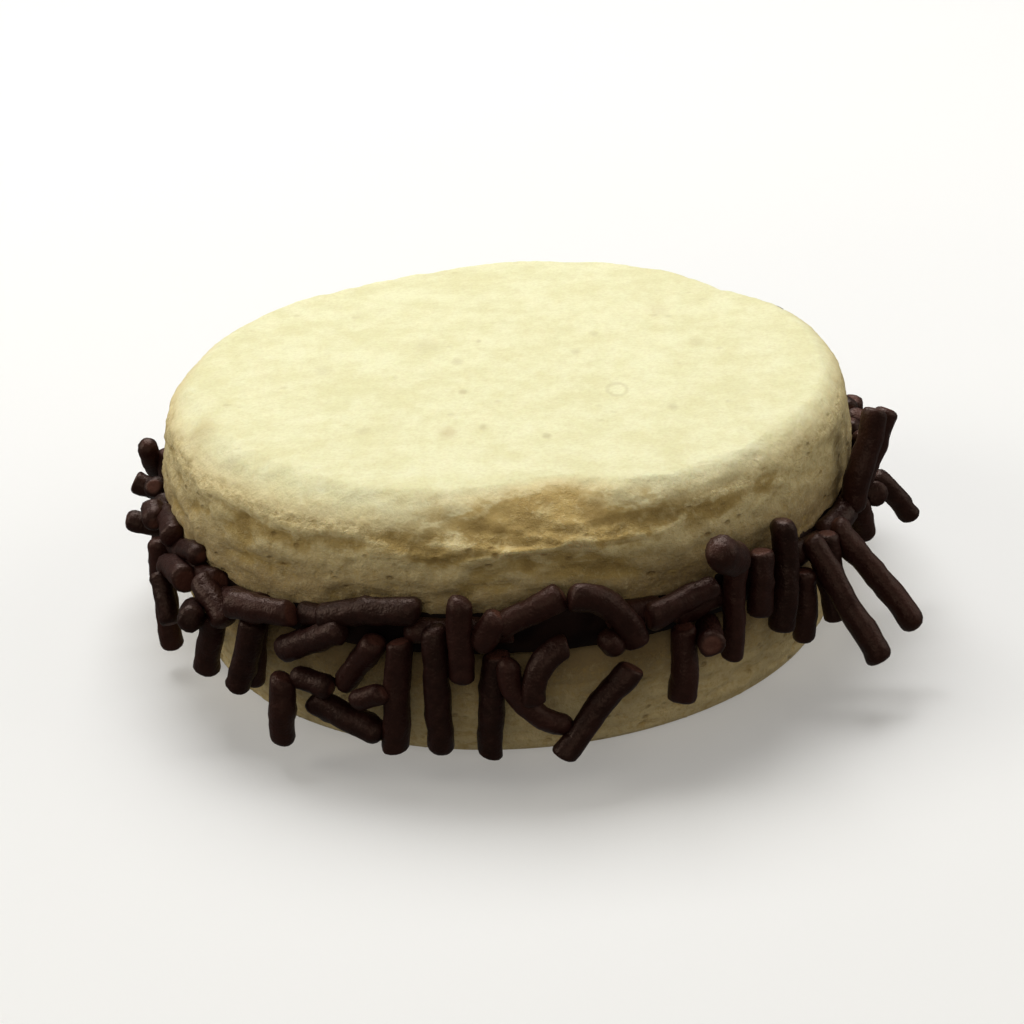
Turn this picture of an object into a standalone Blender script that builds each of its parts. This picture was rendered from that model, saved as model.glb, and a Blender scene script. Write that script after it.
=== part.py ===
"""Alfajor: two pale biscuits on a sweet filling whose edge is rolled in chocolate sprinkles.

It rests on the bottom biscuit's flat face at z = 0, with the shown side towards -Y.
"""

import random
from collections import namedtuple
from math import atan2, cos, exp, hypot, pi, radians, sin

import bmesh
import bpy
import numpy as np
from mathutils import Vector, noise

MM = 0.001
GAP = 0.3 * MM                     # between nodes

# Biscuits
BISCUIT_RADIUS = 22.5 * MM
BOTTOM_BISCUIT = (0.0, 7.4 * MM)   # height of its lower and its upper face
TOP_BISCUIT = (10.6 * MM, 17.0 * MM)
FOOT_TAPER = 0.9 * MM              # how far the bottom biscuit's side leans in at its foot
INNER_TAPER = 0.25 * MM            # how far either side leans in next to the filling
BELLY = 0.25 * MM
FOOT_ROUND = 1.2 * MM              # edge of the bottom biscuit's lower face
CRUST_ROUND = 1.6 * MM             # edge of the top biscuit's upper face
INNER_ROUND = 1.0 * MM             # edges next to the filling
BISCUIT_STEPS = 76                 # sides of the turned shapes
ROUND_STEPS = 4
SIDE_STEPS = 6
FACE_RING = 0.62                   # a ring on the flat faces, as a share of their radius

# Relief of the biscuits' sides, all of it inwards
WOBBLE = 0.15 * MM                 # out of round
WOBBLE_TURNS = 1.4
CREASE_DEPTH = 0.55 * MM
CREASE_WIDE = 4.2 * MM             # the creases run level
CREASE_HIGH = 1.5 * MM
EDGE_FADE = 1.2 * MM               # creases fade out this far from the flat faces
BOTTOM_SHIFT = 3.7                 # a different part of the noise for each biscuit
TOP_SHIFT = 8.1

# Hollows in the top biscuit's side: degrees round to the right, height, half width in degrees,
# half height and depth in mm.
TOP_HOLLOWS = [
    (-68, 15.2, 5, 0.5, 0.5),
    (-45, 14.8, 7, 0.6, 0.5),
    (-27, 13.4, 8, 0.5, 0.4),
    (-8, 14.6, 9, 0.8, 0.6),
    (6, 15.0, 10, 0.9, 0.8),
    (18, 14.5, 6, 0.7, 0.6),
    (33, 14.9, 7, 0.5, 0.5),
    (8, 12.9, 7, 0.5, 0.4),
    (21, 12.3, 5, 0.4, 0.4),
    (115, 14.8, 8, 0.7, 0.6),
    (160, 13.6, 10, 0.6, 0.5),
    (205, 15.0, 9, 0.7, 0.6),
    (250, 14.0, 7, 0.6, 0.5),
]

# Filling
FILLING_FLAT = 21.6 * MM           # radius where its flat faces end
FILLING_REACH = 23.6 * MM          # radius of its bulge
FILLING_STEPS = 64
BULGE_STEPS = 6
UPPER_FULLNESS = 0.3               # a lower power makes a fuller bulge
LOWER_FULLNESS = 0.6

# Sprinkles
SPRINKLE_RADIUS = 0.88 * MM        # to the corners of its six sides
SPRINKLE_TIP = 0.3 * MM            # length of the narrower tip
TOUCH_END = 0.45 * MM              # a sprinkle touches others no nearer its ends than this
TIP_SHARE = 0.62                   # radius of the tip's end
BENT_POINTS = 5                    # points along the body of a bent sprinkle, a straight one has 2
FLAT_SHARE = 0.87                  # distance to its flat sides, as a share of its radius
MEASURE_POINTS = 12                # points along a sprinkle that distances are measured from
SINK = 0.18 * MM                   # how deep a sprinkle lies in the filling
PRESS = 0.82                       # how close two sprinkles lie, in diameters across the flats
FILLER_PRESS = 0.6
NEIGHBOUR_REACH = 12 * MM          # sprinkles whose middles are farther apart can't meet
LOWEST_POINT = 1.4 * MM
START_OUT = 30 * MM                # sprinkles slide inwards from here
SLIDE_STEP = 0.1 * MM
RAISE_STEP = 0.3                   # mm, for sprinkles that would hang loose
RAISE_TRIES = 10
PLACED_REACH = 29 * MM             # how far out a sprinkle may lie
DRAWN_REACH = 26.4 * MM
FILLER_REACH = 24.3 * MM
SHOWN_HALF = 102                   # the placed sprinkles go this many degrees round to each side
SPRINKLE_SEED = 11

# A sprinkle's place: degrees round to the right of the middle of the shown side, height of its middle
# in mm, turn from level and lift out of the side in degrees, length in mm, bend in degrees, and girth.
Sprinkle = namedtuple("Sprinkle", "around up turn lift length bend girth")

PLACED_SPRINKLES = [
    (-22, 10.7, 10, 0, 6.6, 0, 1.0),
    (-12, 6.2, -89, 4, 8.0, -4, 1.0),
    (-8.2, 9.5, -92, 2, 5.4, 0, 0.95),
    (-18, 5.6, -95, 3, 7.4, 0, 1.0),
    (-4.3, 5.2, -96, 4, 6.6, 0, 1.0),
    (1.8, 11.1, 25, 0, 4.4, -14, 1.0),
    (0.2, 5.4, -52, 1, 6.4, 100, 0.9),
    (9.8, 4.9, 47, -6, 6.8, 0, 0.95),
    (23.8, 10.2, 14, 0, 4.8, 0, 1.0),
    (13.4, 10.9, -45, 3, 5.8, -75, 1.0),
    (2.4, 7.9, -121, 14, 4.4, 85, 0.95),
    (24, 6.0, -92, 3, 4.9, 0, 1.05),
    (27.6, 7.8, 165, 58, 3.4, 0, 1.0),
    (33, 8.9, -92, 0, 7.4, 0, 0.9),
    (29.6, 13.2, -38, -12, 3.2, 0, 1.15),
    (37.6, 9.7, -92, 2, 4.2, 0, 0.95),
    (42.4, 9.4, -96, 3, 7.2, -8, 1.05),
    (47.6, 6.4, -94, 3, 4.8, 0, 0.9),
    (56.5, 5.6, -90, 12, 4.4, 0, 0.9),
    (50.5, 6.9, -90, 36, 8.8, 0, 1.0),
    (57.8, 7.2, -90, 42, 8.4, 0, 1.0),
    (67.5, 13.0, 77, 9, 6.6, 0, 1.05),
    (75, 12.4, 77, 17, 5.4, 0, 1.0),
    (78, 8.6, 158, 13, 3.6, 0, 1.0),
    (82, 7.6, -82, 36, 4.4, 0, 0.95),
    (88, 9.6, -85, 12, 3.2, 0, 0.95),
    (-23.6, 7.3, 52, 4, 4.6, 0, 1.0),
    (-21.4, 5.8, 28, 0, 2.4, 0, 0.85),
    (-26, 3.7, -16, 4, 5.0, 0, 1.05),
    (-30.5, 5.9, -8, 0, 2.8, 0, 0.9),
    (-31, 8.3, 27, 4, 5.4, 0, 1.05),
    (-34.8, 3.9, -96, 3, 4.6, 0, 1.0),
    (-51, 8.6, -30, 5, 3.6, 0, 1.05),
    (-39.5, 9.7, 4, -12, 4.6, 0, 1.05),
    (-52, 5.0, -101, 5, 4.2, 0, 1.0),
    (-44.5, 4.6, -95, 2, 4.6, 0, 0.9),
    (-53, 7.7, 26, 31, 3.4, 0, 1.05),
    (-43.5, 6.2, -104, 10, 5.2, 10, 1.0),
    (-62, 8.9, 8, 5, 4.2, 0, 1.1),
    (-64, 6.8, -60, 5, 3.4, 0, 0.9),
    (-72, 5.4, -87, 2, 7.8, 8, 0.95),
    (-84, 8.3, 90, 72, 2.6, 0, 0.95),
    (-95, 8.7, 80, 64, 2.5, 0, 0.95),
    (-90, 6.0, -84, 10, 4.6, 0, 0.95),
    (-101, 7.2, -95, 6, 6.4, 0, 1.0),
]

# Sprinkles that are drawn: how many, then the range of height, the middle and the spread of turn,
# and the ranges of lift, length and bend.
DRAWN_KINDS = [
    (14, (9.8, 10.8), (0, 14), (0, 2), (3.4, 6.4), (-30, 30)),      # level
    (38, (5.9, 7.4), (-90, 8), (0, 8), (4.2, 8.0), (-20, 20)),      # hanging
    (12, (6.2, 9.4), (-90, 55), (0, 12), (3.0, 6.2), (-70, 70)),    # slanting
    (8, (10.8, 12.4), (85, 12), (4, 14), (3.4, 6.2), (0, 0)),       # standing
    (8, (6.6, 8.2), (-90, 25), (28, 48), (4.4, 8.0), (0, 0)),       # standing off
]
FILLER_KIND = (20, (8.3, 10.2), (-90, 70), (-8, 8), (1.2, 2.8), (0, 0))


def clear_scene():
    """Removes every object, so that the script can run again."""
    for old in list(bpy.data.objects):
        bpy.data.objects.remove(old, do_unlink=True)


def make_collection(name):
    """Adds a collection to the scene."""
    group = bpy.data.collections.new(name)
    bpy.context.scene.collection.children.link(group)
    return group


def make_material(name, colour, roughness):
    """A Principled material, its colour linear."""
    material = bpy.data.materials.new(name)
    material.use_nodes = True
    shader = material.node_tree.nodes["Principled BSDF"]
    shader.inputs["Base Color"].default_value = (*colour, 1.0)
    shader.inputs["Roughness"].default_value = roughness
    shader.inputs["Metallic"].default_value = 0.0
    material.diffuse_color = (*colour, 1.0)
    return material


def arc(centre, radius, start, end, steps):
    """Points of a round edge in the plane of radius and height, angles in degrees."""
    points = []
    for step in range(steps + 1):
        angle = radians(start + (end - start) * step / steps)
        points.append((centre[0] + radius * cos(angle), centre[1] + radius * sin(angle)))
    return points


def biscuit_profile(faces, rounds, tapers):
    """Half the outline of a biscuit, from the middle of its upper face to the middle of its lower.

    Each argument gives a lower and an upper value.
    """
    low, high = faces
    low_round, high_round = rounds
    low_radius = BISCUIT_RADIUS - tapers[0]
    high_radius = BISCUIT_RADIUS - tapers[1]
    upper = arc((high_radius - high_round, high - high_round), high_round, 90, 0, ROUND_STEPS)
    lower = arc((low_radius - low_round, low + low_round), low_round, 0, -90, ROUND_STEPS)
    side = []
    for step in range(1, SIDE_STEPS):
        share = step / SIDE_STEPS
        point = Vector(upper[-1]).lerp(Vector(lower[0]), share)
        side.append((min(point.x + BELLY * sin(pi * share), BISCUIT_RADIUS), point.y))
    upper_ring = (upper[0][0] * FACE_RING, high)
    lower_ring = (lower[-1][0] * FACE_RING, low)
    return [(0.0, high), upper_ring, *upper, *side, *lower, lower_ring, (0.0, low)]


def filling_profile(low, high):
    """Half the outline of the filling, its side bulging out past the biscuits, most near its top."""
    middle = (low + high) / 2
    bulge = []
    for step in range(BULGE_STEPS + 1):
        angle = radians(90 - 180 * step / BULGE_STEPS)
        power = UPPER_FULLNESS if angle > 0 else LOWER_FULLNESS
        fullness = max(0.0, cos(angle)) ** power
        reach = FILLING_FLAT + (FILLING_REACH - FILLING_FLAT) * fullness
        bulge.append((reach, middle + (high - low) / 2 * sin(angle)))
    return [(0.0, high), *bulge, (0.0, low)]


def applied_copy(source, name, group):
    """Replaces an object by a welded mesh of what it evaluates to."""
    bpy.context.view_layer.update()
    evaluated = source.evaluated_get(bpy.context.evaluated_depsgraph_get())
    mesh = bpy.data.meshes.new_from_object(evaluated)
    mesh.name = name
    edit = bmesh.new()
    edit.from_mesh(mesh)
    bmesh.ops.remove_doubles(edit, verts=edit.verts, dist=0.02 * MM)
    bmesh.ops.recalc_face_normals(edit, faces=edit.faces)
    edit.to_mesh(mesh)
    edit.free()
    solid = bpy.data.objects.new(name, mesh)
    solid.matrix_world = source.matrix_world
    bpy.data.objects.remove(source, do_unlink=True)
    group.objects.link(solid)
    return solid


def turned_object(name, profile, steps, group):
    """Turns half an outline about Z."""
    mesh = bpy.data.meshes.new(name)
    points = [(radius, 0.0, up) for radius, up in profile]
    edges = [(number, number + 1) for number in range(len(points) - 1)]
    mesh.from_pydata(points, edges, [])
    outline = bpy.data.objects.new(name + "_outline", mesh)
    group.objects.link(outline)
    screw = outline.modifiers.new("turn", "SCREW")
    screw.steps = steps
    screw.render_steps = steps
    screw.use_merge_vertices = True
    screw.merge_threshold = 0.05 * MM
    return applied_copy(outline, name, group)


def hollow_depth(around, up, hollows):
    """Depth of the deepest listed hollow at a place on the side."""
    depth = 0.0
    for centre, height, half_width, half_height, deep in hollows:
        turn = (around - radians(centre) + pi) % (2 * pi) - pi
        spread = (turn / radians(half_width)) ** 2 + ((up / MM - height) / half_height) ** 2
        depth = max(depth, deep * MM * exp(-spread))
    return depth


def side_inset(around, up, faces, hollows, shift):
    """How far a biscuit's side lies inside its plain circle."""
    across = Vector((sin(around), cos(around), 0.0))
    wobble = WOBBLE * (1 + noise.noise(across * WOBBLE_TURNS + Vector((0, 0, shift))))
    crease_place = across * (BISCUIT_RADIUS / CREASE_WIDE) + Vector((0, 0, up / CREASE_HIGH + shift))
    crease = CREASE_DEPTH * max(0.0, noise.noise(crease_place))
    to_face = min(up - faces[0], faces[1] - up)
    fade = min(1.0, max(0.0, to_face / EDGE_FADE))
    return wobble + fade * (crease + hollow_depth(around, up, hollows))


def make_biscuit(name, profile, faces, hollows, shift, group):
    """One biscuit: a turned shape whose side is then made uneven."""
    solid = turned_object(name, profile, BISCUIT_STEPS, group)
    for vertex in solid.data.vertices:
        place = vertex.co
        radius = hypot(place.x, place.y)
        if radius > BISCUIT_RADIUS * 0.8:
            around = atan2(place.x, -place.y)
            inset = side_inset(around, place.z, faces, hollows, shift)
            place.xy *= (radius - inset) / radius
    return solid


def outward(around):
    """The direction out of the ring at a number of degrees round to the right."""
    return np.array([sin(radians(around)), -cos(radians(around)), 0.0])


def spine(sprinkle, out, shares):
    """Points on the middle line of a sprinkle, at shares of its length from its middle."""
    place = radians(sprinkle.around)
    turn = radians(sprinkle.turn)
    lift = radians(sprinkle.lift)
    bend = radians(sprinkle.bend)
    along = np.array([cos(place), sin(place), 0.0])
    upward = np.array([0.0, 0.0, 1.0])
    heading = cos(lift) * (cos(turn) * along + sin(turn) * upward) + sin(lift) * outward(sprinkle.around)
    aside = -sin(turn) * along + cos(turn) * upward
    line = []
    for share in shares:
        if bend:
            radius = sprinkle.length / bend
            line.append(heading * radius * sin(bend * share) + aside * radius * (1 - cos(bend * share)))
        else:
            line.append(heading * sprinkle.length * share)
    return (np.array(line) + upward * sprinkle.up) * MM + outward(sprinkle.around) * out


def dense_outline(profile):
    """An outline as points close together, to measure distances to."""
    points = []
    for start, end in zip(profile, profile[1:]):
        for share in np.linspace(0, 1, 12, endpoint=False):
            points.append(np.array(start) * (1 - share) + np.array(end) * share)
    return np.array(points)


def distance_to_outline(line, outline):
    """Least distance from a middle line to a turned outline."""
    flat = np.stack([np.hypot(line[:, 0], line[:, 1]), line[:, 2]], axis=1)
    return np.min(np.linalg.norm(flat[:, None] - outline[None], axis=2))


def body_shares(sprinkle):
    """Shares of a sprinkle's length, without its narrower tips."""
    half = 0.5 - TOUCH_END / (sprinkle.length * MM)
    return np.linspace(-half, half, MEASURE_POINTS)


def slide_in(sprinkle, laid, walls, filling, press):
    """Slides a sprinkle inwards until it meets the filling or another one. None when it meets neither."""
    radius = SPRINKLE_RADIUS * sprinkle.girth
    flat_radius = radius * FLAT_SHARE
    whole = spine(sprinkle, 0.0, np.linspace(-0.5, 0.5, MEASURE_POINTS))
    body = spine(sprinkle, 0.0, body_shares(sprinkle))
    middle = body.mean(axis=0) + outward(sprinkle.around) * FILLING_REACH
    near = [other for other in laid if np.linalg.norm(other[0].mean(axis=0) - middle) < NEIGHBOUR_REACH]
    out = START_OUT
    while out > 0:
        step = outward(sprinkle.around) * out
        if distance_to_outline(whole + step, walls) < radius + GAP:
            return None
        if distance_to_outline(body + step, filling) < flat_radius - SINK:
            return out
        for other, other_radius in near:
            between = np.linalg.norm((body + step)[:, None] - other[None], axis=2)
            if np.min(between) < (flat_radius + other_radius) * press:
                return out
        out -= SLIDE_STEP
    return None


def settle(sprinkle, laid, walls, filling, press):
    """Slides a sprinkle in, raised until it meets something. Returns it with its distance out."""
    for tries in range(RAISE_TRIES + 1):
        raised = sprinkle._replace(up=sprinkle.up + tries * RAISE_STEP)
        out = slide_in(raised, laid, walls, filling, press)
        if out is not None:
            return raised, out
    return None


def draw_kind(draw, kind, first, last):
    """Draws the sprinkles of one kind between two places round the ring, in degrees."""
    count, heights, (turn, turn_spread), lifts, lengths, bends = kind
    drawn = []
    for _ in range(count):
        around = draw.uniform(first, last)
        up = draw.uniform(*heights)
        turned = draw.uniform(turn - turn_spread, turn + turn_spread)
        lift = draw.uniform(*lifts)
        length = draw.uniform(*lengths)
        bend = draw.uniform(*bends)
        drawn.append(Sprinkle(around, up, turned, lift, length, bend, draw.uniform(0.9, 1.06)))
    return drawn


def lay_sprinkles(walls, filling):
    """Works out where every sprinkle lies: the placed ones, then the drawn ones, then the fillers."""
    draw = random.Random(SPRINKLE_SEED)
    trials = [(Sprinkle(*values), PRESS, PLACED_REACH) for values in PLACED_SPRINKLES]
    for kind in DRAWN_KINDS:
        for sprinkle in draw_kind(draw, kind, SHOWN_HALF, 360 - SHOWN_HALF):
            trials.append((sprinkle, PRESS, DRAWN_REACH))
    for sprinkle in draw_kind(draw, FILLER_KIND, -SHOWN_HALF, SHOWN_HALF):
        trials.append((sprinkle, FILLER_PRESS, FILLER_REACH))
    found = []
    laid = []
    for sprinkle, press, reach in trials:
        settled = settle(sprinkle, laid, walls, filling, press)
        if settled is None or settled[1] > reach:
            continue
        if spine(*settled, (-0.5, 0.5))[:, 2].min() >= LOWEST_POINT:
            found.append(settled)
            body = spine(*settled, body_shares(sprinkle))
            laid.append((body, SPRINKLE_RADIUS * sprinkle.girth * FLAT_SHARE))
    return found


def make_sprinkle(name, sprinkle, out, group):
    """One sprinkle: a curve with six sides and narrower tips, made a mesh."""
    tip = SPRINKLE_TIP / (sprinkle.length * MM)
    body_points = BENT_POINTS if abs(sprinkle.bend) > 15 else 2
    line = spine(sprinkle, out, [-0.5, *np.linspace(tip - 0.5, 0.5 - tip, body_points), 0.5])
    curve = bpy.data.curves.new(name, "CURVE")
    curve.dimensions = "3D"
    curve.bevel_depth = SPRINKLE_RADIUS * sprinkle.girth
    curve.bevel_resolution = 1
    curve.use_fill_caps = True
    spline = curve.splines.new("POLY")
    spline.points.add(len(line) - 1)
    for point, place in zip(spline.points, line):
        point.co = (*place, 1.0)
    spline.points[0].radius = TIP_SHARE
    spline.points[-1].radius = TIP_SHARE
    tube = bpy.data.objects.new(name + "_curve", curve)
    group.objects.link(tube)
    return applied_copy(tube, name, group)


def fuse(core, group):
    """Joins a collection of solids to the core by one union, and removes them."""
    union = core.modifiers.new("fuse", "BOOLEAN")
    union.operation = "UNION"
    union.operand_type = "COLLECTION"
    union.collection = group
    union.solver = "MANIFOLD"
    bpy.context.view_layer.update()
    evaluated = core.evaluated_get(bpy.context.evaluated_depsgraph_get())
    mesh = bpy.data.meshes.new_from_object(evaluated)
    core.modifiers.clear()
    core.data = mesh
    for piece in list(group.objects):
        bpy.data.objects.remove(piece, do_unlink=True)
    bpy.data.collections.remove(group)


def connected_vertices(seed, left):
    """Takes the vertices connected to a seed out of the set of those left."""
    shell = {seed}
    border = [seed]
    while border:
        for edge in border.pop().link_edges:
            for vertex in edge.verts:
                if vertex in left:
                    left.remove(vertex)
                    shell.add(vertex)
                    border.append(vertex)
    return shell


def keep_largest_shell(solid):
    """Fills hollows that fusing has sealed and drops loose scraps: only the largest shell stays."""
    edit = bmesh.new()
    edit.from_mesh(solid.data)
    bmesh.ops.remove_doubles(edit, verts=edit.verts, dist=0.004 * MM)
    bmesh.ops.dissolve_degenerate(edit, edges=edit.edges, dist=0.004 * MM)
    bmesh.ops.triangulate(edit, faces=edit.faces)
    left = set(edit.verts)
    shells = []
    while left:
        shells.append(connected_vertices(left.pop(), left))
    shells.sort(key=len)
    extra = [vertex for shell in shells[:-1] for vertex in shell]
    bmesh.ops.delete(edit, geom=extra, context="VERTS")
    edit.to_mesh(solid.data)
    edit.free()


def main():
    """Builds the two biscuits and the sprinkled filling."""
    clear_scene()
    alfajor = make_collection("alfajor")

    bottom_profile = biscuit_profile(BOTTOM_BISCUIT, (FOOT_ROUND, INNER_ROUND), (FOOT_TAPER, INNER_TAPER))
    bottom = make_biscuit("biscuit_bottom", bottom_profile, BOTTOM_BISCUIT, [], BOTTOM_SHIFT, alfajor)
    bottom.data.materials.append(make_material("lower_biscuit", (0.87, 0.8, 0.52), 0.85))

    top_profile = biscuit_profile(TOP_BISCUIT, (INNER_ROUND, CRUST_ROUND), (INNER_TAPER, 0.0))
    top = make_biscuit("biscuit_top", top_profile, TOP_BISCUIT, TOP_HOLLOWS, TOP_SHIFT, alfajor)
    top.data.materials.append(make_material("upper_biscuit", (0.91, 0.85, 0.58), 0.85))

    outline = filling_profile(BOTTOM_BISCUIT[1] + GAP, TOP_BISCUIT[0] - GAP)
    filling = turned_object("sprinkled_filling", outline, FILLING_STEPS, alfajor)
    filling.data.materials.append(make_material("chocolate", (0.035, 0.015, 0.012), 0.4))

    walls = np.concatenate([dense_outline(bottom_profile[1:-1]), dense_outline(top_profile[1:-1])])
    sprinkles = make_collection("sprinkles")
    found = lay_sprinkles(walls, dense_outline(outline[1:-1]))
    for number, (sprinkle, out) in enumerate(found):
        make_sprinkle("sprinkle_%03d" % number, sprinkle, out, sprinkles)
    fuse(filling, sprinkles)
    keep_largest_shell(filling)


main()
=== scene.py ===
import random
from collections import namedtuple
from math import atan2, cos, exp, hypot, pi, radians, sin

import bmesh
import bpy
import numpy as np
from mathutils import Matrix, Vector, noise


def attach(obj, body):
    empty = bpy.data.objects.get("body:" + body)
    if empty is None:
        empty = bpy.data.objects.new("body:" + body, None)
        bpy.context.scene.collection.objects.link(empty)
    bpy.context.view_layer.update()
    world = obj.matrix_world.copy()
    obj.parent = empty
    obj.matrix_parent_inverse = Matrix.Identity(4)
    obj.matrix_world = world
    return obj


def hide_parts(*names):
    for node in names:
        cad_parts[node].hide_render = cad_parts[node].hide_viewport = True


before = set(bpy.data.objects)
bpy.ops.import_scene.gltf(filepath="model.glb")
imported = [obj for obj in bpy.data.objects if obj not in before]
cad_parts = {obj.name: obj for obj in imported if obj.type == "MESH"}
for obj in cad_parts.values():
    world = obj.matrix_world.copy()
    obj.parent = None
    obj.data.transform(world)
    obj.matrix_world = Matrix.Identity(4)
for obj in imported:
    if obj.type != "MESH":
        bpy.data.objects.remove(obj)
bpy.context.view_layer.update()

mm = 0.001
gap = 0.3 * mm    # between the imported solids
tiny = 0.01 * mm  # shorter than any edge


# ---- shader maths

def fill(tree, socket, value):  # with another node's output or a plain value
    if isinstance(value, Term):
        tree.links.new(value.socket, socket)
    else:
        socket.default_value = value


class Term:  # one output socket, so that shader maths reads as Python
    def __init__(self, tree, socket):
        self.tree = tree
        self.socket = socket

    def maths(self, operation, first, second):
        node = self.tree.nodes.new("ShaderNodeMath")
        node.operation = operation
        fill(self.tree, node.inputs[0], first)
        fill(self.tree, node.inputs[1], second)
        return Term(self.tree, node.outputs[0])

    def __add__(self, other):
        return self.maths("ADD", self, other)

    def __sub__(self, other):
        return self.maths("SUBTRACT", self, other)

    def __mul__(self, other):
        return self.maths("MULTIPLY", self, other)

    __radd__ = __add__

    def step(self, low, high, most=1.0):  # 0 below low, most above high, smooth between; high may be lower
        node = self.tree.nodes.new("ShaderNodeMapRange")
        node.interpolation_type = "SMOOTHSTEP"
        self.tree.links.new(self.socket, node.inputs["Value"])
        node.inputs["From Min"].default_value = min(low, high)
        node.inputs["From Max"].default_value = max(low, high)
        node.inputs["To Min"].default_value = most * (low > high)
        node.inputs["To Max"].default_value = most * (low <= high)
        return Term(self.tree, node.outputs["Result"])


class Finish:  # a Principled material and the nodes behind it
    def __init__(self, name, **fixed):
        self.material = bpy.data.materials.new(name)
        self.material.use_nodes = True
        self.tree = self.material.node_tree
        self.shader = self.tree.nodes["Principled BSDF"]
        for name, value in fixed.items():
            self.shader.inputs[name.replace("_", " ")].default_value = value
        self.place = self.node("ShaderNodeTexCoord", output="Object")

    def node(self, kind, settings=(), values=(), output=0):
        node = self.tree.nodes.new(kind)
        for name, value in dict(settings).items():
            setattr(node, name, value)
        for name, value in dict(values).items():
            fill(self.tree, node.inputs[name], value)
        return Term(self.tree, node.outputs[output])

    def stretched(self, scale):  # object coordinates, stretched along each axis
        if scale is None:
            return self.place
        return self.node("ShaderNodeMapping", {}, {"Vector": self.place, "Scale": scale}, "Vector")

    def noise(self, size, detail=3.0, roughness=0.55, scale=None):  # size is the grain in mm
        values = {"Scale": 1 / (size * mm), "Detail": detail, "Roughness": roughness}
        return self.node("ShaderNodeTexNoise", {}, {"Vector": self.stretched(scale), **values}, "Fac")

    def cells(self, size, scale=None):  # distance from the middle of the cell
        values = {"Vector": self.stretched(scale), "Scale": 1 / (size * mm)}
        return self.node("ShaderNodeTexVoronoi", {}, values, "Distance")

    def spots(self, cells, spot, groups, group):  # in the cells, where the noise that groups them is high
        return self.cells(*cells).step(*spot) * self.noise(*groups).step(*group)

    def attribute(self, name):
        return self.node("ShaderNodeAttribute", {"attribute_name": name}, {}, "Fac")

    def mix(self, factor, first, second):  # colours
        first, second = [value if isinstance(value, Term) else (*value, 1.0) for value in (first, second)]
        return self.node("ShaderNodeMix", {"data_type": "RGBA"}, {0: factor, 6: first, 7: second}, 2)

    def bump(self, height, distance, strength):  # distance in mm
        values = {"Height": height, "Distance": distance * mm, "Strength": strength}
        return self.node("ShaderNodeBump", {}, values, "Normal")

    def feed(self, **terms):
        for name, term in terms.items():
            self.tree.links.new(term.socket, self.shader.inputs[name.replace("_", " ")])
        return self.material


# ---- shapes that the biscuits and the filling share

biscuitForm = {
    "radius": 22.5 * mm,
    "belly": 0.25 * mm,
    "roundSteps": 4,
    "sideSteps": 6,
    "faceRing": 0.62,  # radius of the ring inside each face, as a share of the flat's
    "turnSteps": 180,
    "voxel": 0.24 * mm,
    # the unevenness that the solid has too
    "wobble": 0.15 * mm,
    "wobbleTurns": 1.4,
    "wobbleBase": 0.2,
    "creaseDepth": 0.165 * mm,
    "creaseWide": 4.2 * mm,
    "creaseHigh": 1.5 * mm,
    "edgeFade": 1.2 * mm,
    "insetFrom": (0.8, 0.97),  # shares of the radius
}


def arc(centre, radius, start, end, steps):  # angles in degrees
    points = []
    for step in range(steps + 1):
        angle = radians(start + (end - start) * step / steps)
        points.append((centre[0] + radius * cos(angle), centre[1] + radius * sin(angle)))
    return points


def biscuitProfile(user):  # from the middle of the upper face to the middle of the lower
    form = biscuitForm
    low, high = user["faces"]
    lowRound, highRound = user["rounds"]
    lowRadius, highRadius = [form["radius"] - taper for taper in user["tapers"]]
    upper = arc((highRadius - highRound, high - highRound), highRound, 90, 0, form["roundSteps"])
    lower = arc((lowRadius - lowRound, low + lowRound), lowRound, 0, -90, form["roundSteps"])
    side = []
    for step in range(1, form["sideSteps"]):
        share = step / form["sideSteps"]
        point = Vector(upper[-1]).lerp(Vector(lower[0]), share)
        side.append((min(point.x + form["belly"] * sin(pi * share), form["radius"]), point.y))
    upperRing = (upper[0][0] * form["faceRing"], high)
    lowerRing = (lower[-1][0] * form["faceRing"], low)
    return [(0.0, high), upperRing, *upper, *side, *lower, lowerRing, (0.0, low)]


fillingForm = {
    "flat": 21.6 * mm,  # radius where its flat faces end
    "reach": 23.6 * mm,  # radius of its bulge
    "steps": 160,
    "bulgeSteps": 6,
    "upperFullness": 0.3,
    "lowerFullness": 0.6,
}


def fillingProfile(low, high, farthest):
    form = fillingForm
    middle = (low + high) / 2
    bulge = []
    for step in range(form["bulgeSteps"] + 1):
        angle = radians(90 - 180 * step / form["bulgeSteps"])
        power = form["upperFullness"] if angle > 0 else form["lowerFullness"]
        fullness = max(0.0, cos(angle)) ** power
        reach = form["flat"] + (farthest - form["flat"]) * fullness
        bulge.append((reach, middle + (high - low) / 2 * sin(angle)))
    return [(0.0, high), *bulge, (0.0, low)]


def turned(profile, steps):  # half an outline turned about Z
    edit = bmesh.new()
    points = [edit.verts.new((radius, 0.0, up)) for radius, up in profile]
    edges = [edit.edges.new(pair) for pair in zip(points, points[1:])]
    bmesh.ops.spin(
        edit, geom=points + edges, cent=(0, 0, 0), axis=(0, 0, 1), angle=2 * pi, steps=steps, use_merge=True,
    )
    bmesh.ops.remove_doubles(edit, verts=edit.verts, dist=2 * tiny)
    bmesh.ops.recalc_face_normals(edit, faces=edit.faces)
    return edit


def placed(name, data):  # a new object in the scene
    thing = bpy.data.objects.new(name, data)
    bpy.context.scene.collection.objects.link(thing)
    return thing


def newObject(name, edit):
    mesh = bpy.data.meshes.new(name)
    edit.to_mesh(mesh)
    edit.free()
    return placed(name, mesh)


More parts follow.
